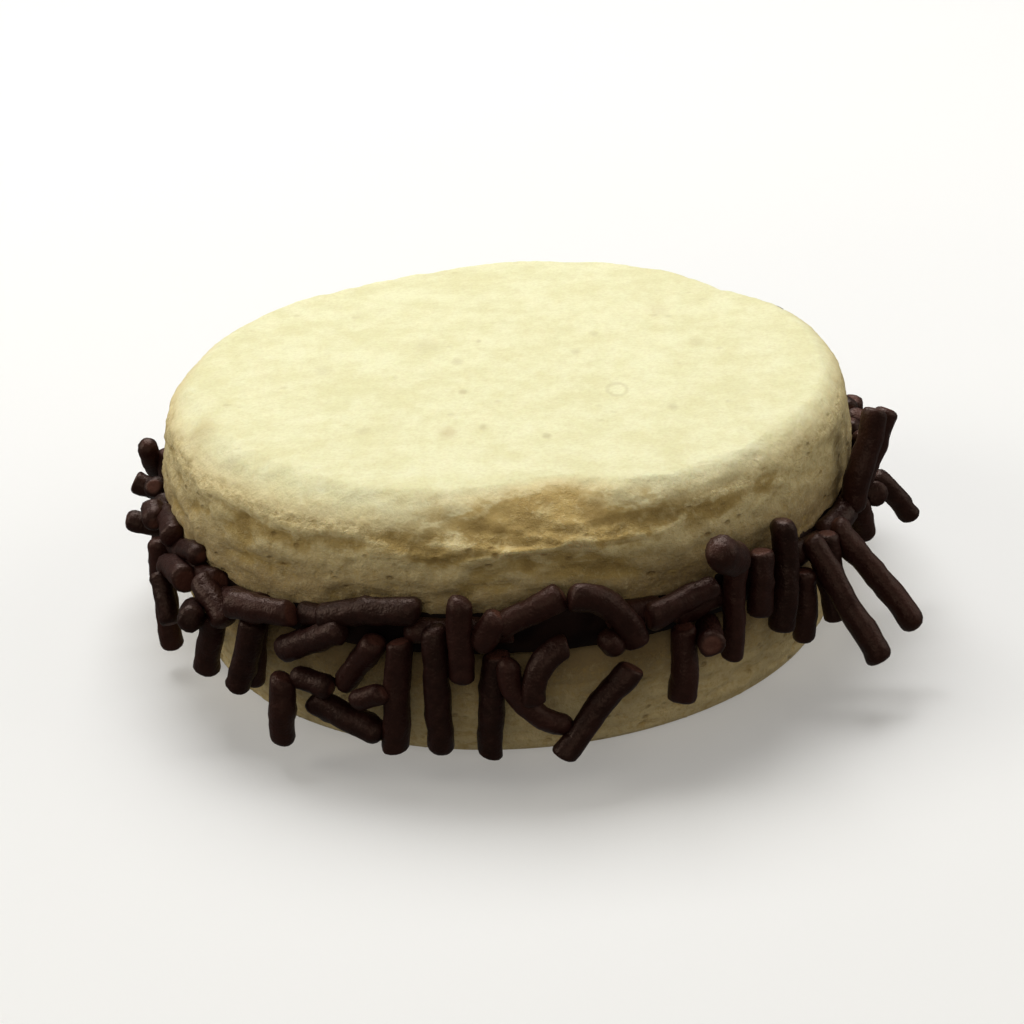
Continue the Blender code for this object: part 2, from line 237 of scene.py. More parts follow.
def applyModifiers(piece):
    bpy.context.view_layer.update()
    evaluated = piece.evaluated_get(bpy.context.evaluated_depsgraph_get())
    mesh = bpy.data.meshes.new_from_object(evaluated)
    mesh.name = piece.name
    piece.modifiers.clear()
    piece.data = mesh


def addValues(piece, name, values):  # one number for each vertex, which the finish reads
    layer = piece.data.attributes.new(name, "FLOAT", "POINT")
    layer.data.foreach_set("value", np.array(values, np.float32))


def finished(piece, material, slot, *nodes):  # smooth, with its material, in place of CAD nodes
    piece.data.shade_smooth()
    piece.data.materials.clear()
    piece.data.materials.append(material)
    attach(piece, "root")
    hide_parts(*nodes)


def noiseAt(place, size, shift):  # size in mm, along each axis or all of them
    if isinstance(size, tuple):
        spot = Vector((place.x / size[0], place.y / size[1], place.z / size[2]))
    else:
        spot = place / size
    return noise.noise(spot / mm + Vector((shift, shift * 0.7, -shift)))


# ---- biscuits

upperBiscuit = {
    "name": "biscuitTop",
    "finish": "upperBiscuit",
    "faces": (10.6 * mm, 17.0 * mm),  # height of its lower and its upper face
    "rounds": (1.0 * mm, 1.6 * mm),  # of its lower and its upper edge
    "tapers": (0.25 * mm, 0.0),  # how far its side leans in at each
    "faceColour": (0.89, 0.87, 0.57),
    "mottledColour": (0.8, 0.765, 0.45),
    "sideColour": (0.84, 0.71, 0.38),
    "hollowColour": (0.5, 0.355, 0.125),
    "paintedShadeColour": (0.31, 0.21, 0.098),
    "marked": True,
    "shift": 8.1,  # a different part of the noise for each biscuit
    "faceGrain": 0.012,  # depths in mm
    "sideGrain": 0.045,
    "creamTo": (-0.2, 2.2),  # where the cream of the face gives way, down the outline in mm
    "paintedShadeDepths": (2.0, 6.0),  # how far below the upper face the painted shade darkens the side, in mm
    # how strong the painted shade is, by degrees around
    "paintedShade": [
        (-180, 0.76), (-60, 0.76), (-40, 0.8), (-10, 0.76), (12, 0.84), (28, 0.98), (46, 1.0), (70, 0.8),
    ],
    "hollowShare": 0.62,
    "calm": (78, 15, 0.6),  # around, half width and by how much the side is smoother there
    "lumpDepth": 0.09,
    "ledgeDepth": 0.17,
    "flakeDepth": 0.07,
    "poreDepth": 0.2,
    "poreSizes": (1.7, 0.935),
    "rimDepth": 0.1,  # unevenness of the rim
    # around in degrees, down the outline from the rim in mm, half width in degrees, half height
    # and depth in mm, and slope in mm for each degree
    "hollows": [
        (-61, 3.8, 3, 0.5, 0.4, 0.06), (-47.5, 3.6, 5.2, 0.75, 0.4, 0.02),
        (-40, 3.3, 6.5, 0.4, 0.3, 0.03), (-43, 5, 8, 0.4, 0.25, 0), (-26.5, 3.2, 5.5, 0.45, 0.38, 0.02),
        (-33.5, 3.6, 5, 0.4, 0.25, 0.02), (-16.4, 2.6, 6, 0.6, 0.3, -0.03), (-10, 3.5, 5, 0.5, 0.3, 0),
        (-1.5, 1.9, 5, 0.9, 0.34, -0.08), (3, 1, 6, 0.9, 0.3, -0.08), (10.5, 0.5, 5, 0.6, 0.26, 0.02),
        (13, 1.6, 6, 0.5, 0.24, 0.02), (21, 2, 7, 0.6, 0.3, 0), (32.5, 2.7, 6, 0.55, 0.4, 0.03),
        (25.5, 2.4, 6, 0.4, 0.25, 0), (44, 2.6, 3.4, 0.45, 0.3, 0), (36.2, 1.8, 3.4, 0.35, 0.2, 0),
        (32.8, 0.6, 4.5, 0.3, 0.14, 0.02), (43.8, 1, 0.9, 0.22, 0.14, 0), (5.8, 2.65, 1.5, 0.34, 0.42, 0),
        (2, 4.35, 1.3, 0.22, 0.24, 0), (-2, 5.15, 1.8, 0.18, 0.3, 0), (-4.8, 4.95, 0.9, 0.14, 0.2, 0),
        (7, 4.8, 2.4, 0.28, 0.26, 0), (13.6, 4.6, 4, 0.42, 0.5, -0.04), (13.2, 3.3, 0.8, 0.26, 0.3, 0),
        (15, 2.3, 3.4, 0.24, 0.3, -0.05), (19, 4.3, 5, 0.24, 0.2, -0.03), (18, 5.8, 1, 0.2, 0.24, 0),
        (25.8, 5.3, 4, 0.28, 0.24, -0.03), (53, 5.9, 0.9, 0.2, 0.3, 0), (55.5, 5.95, 0.8, 0.18, 0.25, 0),
        (-20, 6.4, 7, 0.25, 0.18, 0), (-36.5, 7.6, 1, 0.2, 0.4, 0), (-41.5, 7.7, 0.8, 0.18, 0.35, 0),
        (-70, 5.2, 4, 0.35, 0.25, 0), (-76, 2.8, 4.5, 0.5, 0.3, 0.04), (115, 2.6, 8, 0.6, 0.36, 0.02),
        (96, 4.4, 7, 0.4, 0.28, 0), (138, 3.4, 6, 0.5, 0.3, 0), (160, 4, 10, 0.5, 0.3, 0),
        (184, 2.6, 7, 0.5, 0.3, 0), (205, 2.4, 9, 0.6, 0.36, 0), (228, 4.6, 8, 0.4, 0.28, 0),
        (250, 3.4, 7, 0.5, 0.34, 0), (268, 5, 6, 0.35, 0.25, 0),
    ],
    # raised lumps: around, down, half width, half height, height
    "swells": [
        (-61.3, 5, 3, 0.5, 0.16, 0), (-53.2, 5.7, 3, 0.4, 0.14, 0), (-40.8, 4, 4, 0.35, 0.12, 0),
        (-27.8, 4.1, 5, 0.4, 0.14, 0), (8.8, 1.35, 2.6, 0.35, 0.2, -0.05), (30, 4, 7, 0.5, 0.12, 0),
        (-12, 2.5, 3, 0.4, 0.12, 0),
    ],
    # a light lip, around and down, with a step under it
    "lip": [
        (-12, 4.9), (-8, 4.2), (-5.2, 3.5), (-1.8, 3.05), (1.5, 2.95), (3.5, 2.85), (7.3, 2.7), (10.2, 2.85),
        (14.5, 3.4), (19, 3.9),
    ],
    "lipEnds": ((-12, -6), (10, 19)),  # where it rises and where it ends, around
    "lipHigh": 0.09,
    "lipHalf": 0.42,
    "lipStep": 0.17,
    "lipStepFrom": (0.2, 0.7),  # below the lip, in mm
    "lipStepTo": (0.9, 2.6),
    "lipUnder": (-0.1, 0.5),
    # the rim's rounding, worn wider in front: around, where it starts in from the flat's edge, where it
    # ends below the upper face, how full it is at both ends, and how much toasted colour and painted shade it
    # gets
    "worn": [
        (-180, 0.2, 1.8, 0.9, 0.9, 0.0), (-160, 1.2, 2.2, 0.9, 0.9, 0.0), (-130, 0.3, 1.8, 0.9, 0.9, 0.0),
        (-95, 0.8, 1.8, 0.8, 1.0, 0.0), (-70, 1.3, 1.9, 0.8, 1.1, 0.0), (-52, 1.7, 2.1, 0.8, 1.1, 0.0),
        (-30, 1.7, 2.1, 0.8, 1.1, 0.0), (-17.5, 1.4, 2.6, 0.9, 1.0, 0.25), (-11, 1.7, 2.9, 0.8, 0.9, 0.5),
        (-4.8, 2.1, 2.7, 0.7, 0.8, 0.75), (2, 2.7, 2.35, 0.6, 0.7, 0.95), (8.8, 3.0, 2.2, 0.6, 0.7, 1.0),
        (14, 2.4, 2.5, 0.8, 0.7, 0.8), (19.8, 1.2, 2.5, 0.8, 0.9, 0.5), (28, 0.4, 2.1, 0.8, 0.9, 0.25),
        (44, 0.3, 2.1, 0.9, 0.9, 0.1), (60, 0.2, 1.9, 0.9, 0.9, 0.0), (110, 0.2, 1.8, 0.9, 0.9, 0.0),
        (128, 1.2, 2.2, 0.9, 0.9, 0.0), (146, 0.3, 1.8, 0.9, 0.9, 0.0),
    ],
    "wornUneven": (0, 3),  # where its unevenness ends, down the outline in mm
    "wornFade": (-0.6, 0.9),  # where the toasted colour and painted shade fade, about the worn part's end, in mm
    "bareFrom": (0.02, 0.3),  # shares of the way down the worn part
    "toastAndShadeFrom": (0.12, 0.45),
    "lessFrom": (0.5, 0.9, 0.1),  # less toasted colour and painted shade there, and by how much
    # next to the filling the side leans out and its edge hangs lower: around, out and down
    "skirtFrom": (0.6 * mm, 1.4 * mm),  # above the lower face and below the upper one
    "skirtOuter": (0.75, 0.97),  # shares of the radius
    "skirt": [
        (-180, 0.4, 0.3), (-120, 0.5, 0.5), (-85, 0.75, 0.9), (-60, 0.75, 1.7), (-40, 0.65, 1.8),
        (-22, 0.4, 1.15), (-5, 0.3, 0.85), (8, 0.3, 0.9), (20, 0.45, 1.5), (34, 0.45, 1.2), (55, 0.5, 1.1),
        (80, 0.55, 0.7), (130, 0.5, 0.4),
    ],
}

lowerBiscuit = {
    **upperBiscuit,
    "name": "biscuitBottom",
    "finish": "lowerBiscuit",
    "faces": (0.0, 7.4 * mm),
    "rounds": (1.2 * mm, 1.0 * mm),
    "tapers": (0.9 * mm, 0.25 * mm),
    # painted shade: the same dough as the upper biscuit, coloured darker and more golden because it lies in
    # shade under it
    "faceColour": (0.84, 0.77, 0.48),
    "mottledColour": (0.78, 0.68, 0.4),
    "sideColour": (0.74, 0.6, 0.32),
    "hollowColour": (0.52, 0.36, 0.13),
    "paintedShadeColour": (0.24, 0.15, 0.06),
    "marked": False,
    "shift": 3.7,
    "sideGrain": 0.03,
    # painted shade near its upper edge, under the filling and the upper biscuit
    "paintedShadeDepths": (4.6, 0.6),
    "paintedShade": [(0, 0.85)],
    "lumpDepth": 0.1,
    "ledgeDepth": 0.12,
    "rimDepth": 0.08,
    "hollows": [],
    "swells": [],
    "lip": [],
    "worn": [(0, 0.0, 1.0, 0.55, 0.55, 0.0)],
    "skirt": [(0, 0.0, 0.0)],
}

# both biscuits' noise: size of its grain in mm, seed and strength
reliefNoise = {
    "warp": ((1.7, 1.7, 0.8), 3, 0.5),
    "fineWarp": (0.55, 5, 0.25),
    "ledge": ((3.0, 3.0, 0.7), 11, 1),
    "lump": ((2.1, 2.1, 0.945), 17, 1),
    "rim": (4.2, 23, 1),
    "grain": (0.55, 29, 1),
    "fineGrain": (0.3, 31, 0.6),
    "worn": ((2.2, 2.2, 50), 37, 0.5),
    "fineWorn": (0.9, 41, 0.25),
    "flake": ((1.3, 1.3, 0.5), 43, 1),
}

# where each kind starts and where it is full, down the outline from the rim in mm
reliefFrom = {
    "side": (-0.8, 1.6),
    "rim": (-1.6, 0.3),
    "lump": (0.8, 3.4),
    "flake": (1.0, 3.0),
    "ledge": (1.4, 3.2),
    "pores": (2.4, 3.4),
    "finePores": (2.6, 4.6),
    "morePores": (4.0, 5.6),
}

reliefShape = {
    "hollowReach": 2.6,  # half widths from its middle to where a hollow is over
    "hollowPower": 1.3,  # how flat its floor is
    "ledgeEdges": (-0.05, 0.45),  # noise between which they rise
    "flakeEdges": (-0.1, 0.25),
    "flakeSlope": 0.8,
    "lumpAtRim": 0.15,
    "ledgeLift": 0.35,  # raised again by this share of the ledges' depth
    "poreShares": (0.06, 0.4),  # share of the cells with a pore, at the rim and low on the side
    "finePores": (0.35, 0.5),  # share of the cells and of the depth
    "poreReach": (0.16, 0.38),  # radius of the smallest and the widest one, as a share of its cell
    "highest": 0.3,  # raised at most, in mm
    "hiddenBelow": -0.3,  # which way the surface faces under the rim of a lower face, in radians
}

# golden tone and painted shade that each kind puts on the surface, for each mm of it: painted shade in
# hollows, ledges, flakes and pits, and a paler, painted highlight on lips and swells
reliefPaintedShade = {"hollow": 2.4, "ledge": 1.2, "flake": 2.5, "pit": 0.5, "lip": -3, "swell": -2.5}


def smoothStep(low, high, value):
    share = min(1.0, max(0.0, (value - low) / (high - low)))
    return share * share * (3 - 2 * share)


def between(first, second, share):
    return first + (second - first) * share


def roundAbout(table, around):  # a table of values by degrees, smoothly filled in all the way round
    rows = [(table[-1][0] - 360, *table[-1][1:]), *table, (table[0][0] + 360, *table[0][1:])]
    for start, end in zip(rows, rows[1:]):
        if start[0] <= around <= end[0]:
            share = smoothStep(start[0], end[0], around)
            return [between(first, second, share) for first, second in zip(start[1:], end[1:])]
    return table[0][1:]


def outlinePlace(place, user):
    # distance down the outline from where the upper face starts to round, in mm, and how far the
    # side faces up, in radians
    radius = hypot(place.x, place.y)
    low, high = user["faces"]
    lowRound, highRound = user["rounds"]
    above = place.z - (high - highRound)
    if above > 0:
        beyond = radius - (biscuitForm["radius"] - highRound)
        if beyond < 0:
            return beyond / mm, pi / 2
        facing = atan2(above, max(beyond, tiny))
        return highRound * (pi / 2 - facing) / mm, facing
    down = (highRound * pi / 2 - above) / mm
    below = low + lowRound - place.z
    if below < 0:
        return down, 0.0
    return down, -atan2(below, max(radius - (biscuitForm["radius"] - lowRound), tiny))


def hollowDepth(around, down, hollows, warp):  # of the deepest hollow here, in mm
    depth = 0.0
    for centre, height, halfWidth, halfHeight, deep, slope in hollows:
        turn = (around - centre + 180) % 360 - 180
        if abs(turn) < halfWidth * reliefShape["hollowReach"]:
            across = turn / halfWidth + warp
            along = (down - height + slope * turn) / halfHeight + warp
            depth = max(depth, deep * exp(-(across ** 2 + along ** 2) ** reliefShape["hollowPower"]))
    return depth


def lipHeight(around, down, user):
    # raised along the lip and stepped back under it, in mm, and whether a point is under it
    rising, falling = user["lipEnds"]
    for (start, startDown), (end, endDown) in zip(user["lip"], user["lip"][1:]):
        if start <= around < end:
            below = down - between(startDown, endDown, (around - start) / (end - start))
            ends = smoothStep(*rising, around) * (1 - smoothStep(*falling, around))
            raised = user["lipHigh"] * exp(-(below / user["lipHalf"]) ** 2)
            stepped = smoothStep(*user["lipStepFrom"], below) * (1 - smoothStep(*user["lipStepTo"], below))
            return ends * (raised - user["lipStep"] * stepped), ends * smoothStep(*user["lipUnder"], below)
    return 0.0, 0.0


def evenRim(down, rounding):  # the place on the even outline, out and up from its upper corner
    if down < 0:
        return down - rounding, 0.0
    if down < rounding * pi / 2:
        return rounding * (sin(down / rounding) - 1), rounding * (cos(down / rounding) - 1)
    return 0.0, rounding * (pi / 2 - 1) - down


def wornRim(down, around, user):
    # moves the outline from its even rounding to the worn one: outwards and up in mm, the way that
    # the surface faces, how much of the cream is gone, and how much toasted colour and painted shade it gets
    start, end, fullTop, fullSide, toastAndShade = roundAbout(user["worn"], around)
    rounding = user["rounds"][1] / mm
    last = rounding * (pi / 2 - 1) + end
    share = (down + start) / (last + start)
    fadeFrom, fadeTo = user["wornFade"]
    toastAndShade *= 1 - smoothStep(last + fadeFrom, last + fadeTo, down)
    if not 0 < share < 1:
        return 0.0, 0.0, None, toastAndShade * (share > 0), toastAndShade * (share > 0)
    first = (-rounding - start, 0.0)
    curve = [first, (first[0] + fullTop, 0.0), (0.0, -end + fullSide), (0.0, -end)]
    rest = 1 - share
    weights = (rest ** 3, 3 * rest * rest * share, 3 * rest * share * share, share ** 3)
    slopes = (-rest * rest, rest * rest - 2 * rest * share, 2 * rest * share - share * share, share * share)
    out, up = [sum(weight * point[axis] for weight, point in zip(weights, curve)) for axis in (0, 1)]
    outSlope, upSlope = [sum(slope * point[axis] for slope, point in zip(slopes, curve)) for axis in (0, 1)]
    evenOut, evenUp = evenRim(down, rounding)
    bare = toastAndShade * smoothStep(*user["bareFrom"], share)
    lessFrom, lessTo, less = user["lessFrom"]
    toastAndShade *= smoothStep(*user["toastAndShadeFrom"], share) * (1 - less * smoothStep(lessFrom, lessTo, share))
    return out - evenOut, up - evenUp, atan2(outSlope, -upSlope), bare, toastAndShade


def pore(place, size, share, shift):  # 1 in the middle of a pore
    spot = place / (size * mm) + Vector((shift, -shift, shift))
    distances, points = noise.voronoi(spot)
    chosen = 0.5 + 0.5 * noise.cell(points[0] * 7.3)
    if chosen > share:
        return 0.0
    smallest, widest = reliefShape["poreReach"]
    reach = between(widest, smallest, chosen)
    return 1 - smoothStep(reach * 0.4, reach, distances[0])


def calmShare(around, user):
    centre, half, calmed = user["calm"]
    return 1 - calmed * exp(-((around - centre) / half) ** 2)


def noiseOf(kind, place, user):
    size, seed, strength = reliefNoise[kind]
    return strength * noiseAt(place, size, user["shift"] + seed)


def surfaceRelief(place, around, down, user):  # how far a point sinks in, in mm, and how much golden tone and painted shade it gets
    shape = reliefShape
    begun = {kind: smoothStep(*reach, down) for kind, reach in reliefFrom.items()}
    warp = noiseOf("warp", place, user) + noiseOf("fineWarp", place, user)
    hollow = hollowDepth(around, down, user["hollows"], warp)
    swell = hollowDepth(around, down, user["swells"], warp)
    lip = lipHeight(around, down, user)[0]
    ledge = smoothStep(*shape["ledgeEdges"], noiseOf("ledge", place, user))
    ledge *= user["ledgeDepth"] * begun["ledge"]
    flake = noiseOf("flake", place, user)
    flake = smoothStep(*shape["flakeEdges"], flake) + shape["flakeSlope"] * flake
    flake *= user["flakeDepth"] * begun["flake"]
    lump = user["lumpDepth"] * noiseOf("lump", place, user) * between(shape["lumpAtRim"], 1, begun["lump"])
    size, fineSize = user["poreSizes"]
    fineShare, fineDepth = shape["finePores"]
    pit = pore(place, size, between(*shape["poreShares"], begun["morePores"]) * begun["pores"], user["shift"])
    finePit = pore(place, fineSize, fineShare * begun["finePores"], user["shift"] + 2)
    pit = max(pit, fineDepth * finePit)
    depth = hollow * user["hollowShare"] - swell + ledge + flake + lump + pit * user["poreDepth"] - lip
    depth = begun["side"] * depth - shape["ledgeLift"] * user["ledgeDepth"] * begun["lump"]
    depth *= calmShare(around, user)
    depth += user["rimDepth"] * noiseOf("rim", place, user) * begun["rim"]
    grain = noiseOf("grain", place, user) + noiseOf("fineGrain", place, user)
    depth += between(user["faceGrain"], user["sideGrain"], begun["side"]) * grain
    # painted shade in the recesses, painted highlight on the raised lips and swells
    kinds = {"hollow": hollow, "ledge": ledge, "flake": flake, "pit": pit, "lip": lip, "swell": swell}
    return depth, begun["side"] * sum(kinds[kind] * tint for kind, tint in reliefPaintedShade.items())


def solidInset(place, around, user):  # the same unevenness as the solid has
    form = biscuitForm
    low, high = user["faces"]
    toFace = min(place.z - low, high - place.z)
    fade = min(1.0, max(0.0, toFace / form["edgeFade"]))
    turning = Vector((sin(around), cos(around), 0.0))
    wobble = noise.noise(turning * form["wobbleTurns"] + Vector((0, 0, user["shift"])))
    creasePlace = turning * (form["radius"] / form["creaseWide"])
    creasePlace.z = place.z / form["creaseHigh"] + user["shift"]
    crease = form["creaseDepth"] * max(0.0, noise.noise(creasePlace)) * fade
    crease *= calmShare(around * 180 / pi, user)
    inset = form["wobble"] * (form["wobbleBase"] + wobble) + crease
    return inset * smoothStep(*form["insetFrom"], hypot(place.x, place.y) / form["radius"])


def dressed(place, user):  # where a point of the even outline goes, how much toasted colour and painted shade it gets, how bare it is, and how much painted shade it gets towards the filling
    low, high = user["faces"]
    radius = hypot(place.x, place.y)
    around = atan2(place.x, -place.y)
    degrees = around * 180 / pi
    outwards = Vector((sin(around), -cos(around), 0.0))
    down, facing = outlinePlace(place, user)
    depth, tint = surfaceRelief(place, degrees, down, user)
    hidden = facing < reliefShape["hiddenBelow"] and radius < biscuitForm["radius"] - user["rounds"][0]
    uneven = noiseOf("worn", place, user) + noiseOf("fineWorn", place, user)
    uneven *= 1 - smoothStep(*user["wornUneven"], down)
    out, up, wornFacing, bare, toastAndShade = wornRim(down + uneven, degrees, user)
    if wornFacing is not None:
        facing = wornFacing
    toastAndShade *= 1 - lipHeight(degrees, down, user)[1]
    moved = place + outwards * (out * mm - solidInset(place, around, user))
    moved.z += up * mm
    if not hidden:
        inward = Vector((0, 0, -1)) * sin(facing) - outwards * cos(facing)
        moved += inward * max(depth, -reliefShape["highest"]) * mm
    # the lower edge of the upper biscuit leans out and down
    lean, sink = roundAbout(user["skirt"], degrees)
    fromLow, fromHigh = user["skirtFrom"]
    lean *= 1 - smoothStep(low + fromLow, high - fromHigh, moved.z)
    outer = smoothStep(*user["skirtOuter"], radius / biscuitForm["radius"])
    moved += outwards * lean * mm * outer
    moved.z -= sink * mm * outer * (high - moved.z) / (high - low)
    # painted shade: the side darker towards the filling, more in some places around
    paintedShade = roundAbout(user["paintedShade"], degrees)[0] * smoothStep(*user["paintedShadeDepths"], (high - moved.z) / mm)
    return moved, min(1.0, max(0.0, tint + toastAndShade)), max(smoothStep(*user["creamTo"], down), bare), paintedShade


def makeBiscuit(user, node, slot):
    piece = newObject(user["name"], turned(biscuitProfile(user), biscuitForm["turnSteps"]))
    remesh = piece.modifiers.new("evenFaces", "REMESH")
    remesh.mode = "VOXEL"
    remesh.voxel_size = biscuitForm["voxel"]
    applyModifiers(piece)
    values = []
    for vertex in piece.data.vertices:
        vertex.co, *tints = dressed(vertex.co.copy(), user)
        values.append(tints)
    # hollow carries toasted colour and painted shade, low the painted shade towards the filling
    for name, column in zip(("hollow", "side", "low"), zip(*values)):
        addValues(piece, name, column)
    print(user["name"], len(piece.data.vertices), "vertices")
    finished(piece, biscuitFinish(user), slot, node)


# faint marks on the upper face: across and back, radius and strength, in mm
topMarks = {
    "long": (1.0, 0.6, 1.0),  # they are longer than wide
    "tan": [(-19.4, -7.4, 1.6, 0.4), (-3.7, -10.6, 0.9, 0.35), (11.0, 9.0, 1.2, 0.2)],
    "grey": [
        (-2.7, -4.0, 0.42, 0.7), (-1.6, 4.9, 0.3, 0.5), (-3.1, 1.3, 0.6, 0.45), (2.4, -11.9, 0.4, 0.7),
        (-1.5, -10.0, 0.45, 0.65), (-5.1, 4.5, 1.3, 0.3), (6.3, 5.1, 0.5, 0.45), (4.9, 1.9, 0.5, 0.45),
        (-12.0, 1.0, 0.9, 0.3), (10.5, -8.5, 0.5, 0.5), (-9.0, -9.5, 0.6, 0.4), (13.0, 2.5, 0.8, 0.3),
    ],
    "ring": (7.2, -5.1, 0.62, 0.24, 0.4),
    "ragged": 0.9,
    "ringRagged": 0.3,
    "core": 0.15,  # share of the radius where a mark is full
}


def markedCrust(finish, crust, small, tan, grey):
    user = topMarks
    long = user["long"]
    kind = "ShaderNodeVectorMath"
    place = finish.node(kind, {"operation": "MULTIPLY"}, {0: finish.place, 1: long}, "Vector")
    face = upperBiscuit["faces"][1]

    def distance(across, back):  # in mm
        point = (across * mm * long[0], back * mm * long[1], face)
        return finish.node(kind, {"operation": "DISTANCE"}, {0: place, 1: point}, "Value") * (1 / mm)

    ragged = (small - 0.5) * user["ragged"]
    for marks, colour in ((user["tan"], tan), (user["grey"], grey)):
        for across, back, radius, strength in marks:
            inside = (distance(across, back) + ragged * radius).step(radius, radius * user["core"], strength)
            crust = finish.mix(inside, crust, colour)
    across, back, radius, wide, strength = user["ring"]
    fromRing = distance(across, back) + ragged * user["ringRagged"]
    ring = fromRing.step(radius - wide, radius) * fromRing.step(radius + wide, radius, strength)
    return finish.mix(ring, crust, grey)


biscuitLook = {
    "greyColour": (0.62, 0.56, 0.31),
    "pinholeColour": (0.3, 0.19, 0.06),
    "scorchAndShadeColour": (0.33, 0.22, 0.068),
    "scatter": (1.0, 0.7, 0.35),
    # noise: size of its grain in mm, detail, roughness and how it is stretched
    "broad": (5.5, 2.0),
    "mottle": (2.2, 3.0, 0.6),
    "small": (0.9, 4.0, 0.65),
    "grain": (0.22, 3.0, 0.6),
    "dust": (0.13, 2.0),
    "layers": (1.0, 4.0, 0.65, (0.5, 0.5, 1.4)),
    "flaky": (1.4, 3.0, 0.6, (0.6, 0.6, 1.5)),
    "crumb": (0.4, 3.0, 0.7),
    # spots: their cells, where each starts and is full, and the same for the noise that groups them
    "flecks": ((2.2,), (0.17, 0.05), (1.4, 1.0), (0.47, 0.6)),
    "pinholes": ((0.95, (0.8, 0.8, 1.3)), (0.28, 0.1), (1.9, 1.0), (0.46, 0.6)),
    # where each starts and is full, and its strength
    "mottled": (0.42, 0.68),
    "layered": (0.46, 0.7, 0.45),
    "flaked": (0.48, 0.6, 0.36),
    "toastAndShade": (0.08, 0.75),
    "scorchAndShadeIn": (0.7, 1.0, 0.75),
    "scorchAndShade": (0.4, 0.58),
    "grained": (0.35, 0.75, 0.16),
    "crumbly": (0.75, 1.0),
    "darkCrumb": (0.46, 0.7, 0.5),
    "lightCrumb": (0.5, 0.3, 0.3),
    "relief": (0.12, 0.85),  # depth in mm and strength
}


def biscuitFinish(user):
    look = biscuitLook
    finish = Finish(
        user["finish"], Specular_IOR_Level=0.25, Subsurface_Weight=0.12,
        Subsurface_Scale=1.2 * mm, Subsurface_Radius=look["scatter"],
    )
    hollow = finish.attribute("hollow")
    onSide = finish.attribute("side")
    hollowColour = user["hollowColour"]
    kinds = ("broad", "mottle", "small", "grain", "dust", "layers", "flaky", "crumb")
    broad, mottle, small, grain, dust, layers, flaky, crumb = [finish.noise(*look[kind]) for kind in kinds]
    mottled = (broad * 0.3 + mottle * 0.5 + small * 0.3).step(*look["mottled"])
    crust = finish.mix(mottled, user["faceColour"], user["mottledColour"])
    fleck = finish.spots(*look["flecks"])
    crust = finish.mix(fleck * 0.35, crust, look["greyColour"])
    if user["marked"]:
        crust = markedCrust(finish, crust, small, hollowColour, look["greyColour"])
    base = finish.mix(onSide, crust, user["sideColour"])
    base = finish.mix(onSide * layers.step(*look["layered"]), base, hollowColour)
    # painted shade: the side darker towards the filling
    base = finish.mix(finish.attribute("low"), base, user["paintedShadeColour"])
    # toasted colour and painted shade from the hollow attribute, in recesses and on the worn front, darkest
    # where it is deepest
    toastAndShade = hollow * 0.92 + (small - 0.5) * 0.6 - flaky.step(*look["flaked"])
    base = finish.mix(toastAndShade.step(*look["toastAndShade"]), base, hollowColour)
    scorchAndShade = hollow.step(*look["scorchAndShadeIn"]) * (mottle * 0.6 + small * 0.4).step(*look["scorchAndShade"])
    base = finish.mix(scorchAndShade, base, look["scorchAndShadeColour"])
    base = finish.mix(grain.step(*look["grained"]), base, hollowColour)
    # crumbs and pinholes of the side
    crumbly = onSide.step(*look["crumbly"])
    pinhole = crumbly * finish.spots(*look["pinholes"])
    base = finish.mix(crumbly * crumb.step(*look["darkCrumb"]), base, hollowColour)
    base = finish.mix(crumbly * crumb.step(*look["lightCrumb"]), base, user["sideColour"])
    base = finish.mix(pinhole * 0.55, base, look["pinholeColour"])
    height = small * 0.5 + grain * 0.35 + dust * 0.2 - fleck * 0.4 - pinhole * 0.9
    # about the middle of each noise, so that no step shows where the crumbs begin
    height = height - crumbly * ((layers - 0.5) * 1.3 + (small - 0.5) * 0.6 + (crumb - 0.5) * 1.1)
    normal = finish.bump(height, *look["relief"])
    return finish.feed(Base_Color=base, Roughness=0.68 + grain * 0.2, Normal=normal)


# ---- sprinkles, which lie where the same rule puts the solids' own

Sprinkle = namedtuple("Sprinkle", "around up turn lift length bend girth")

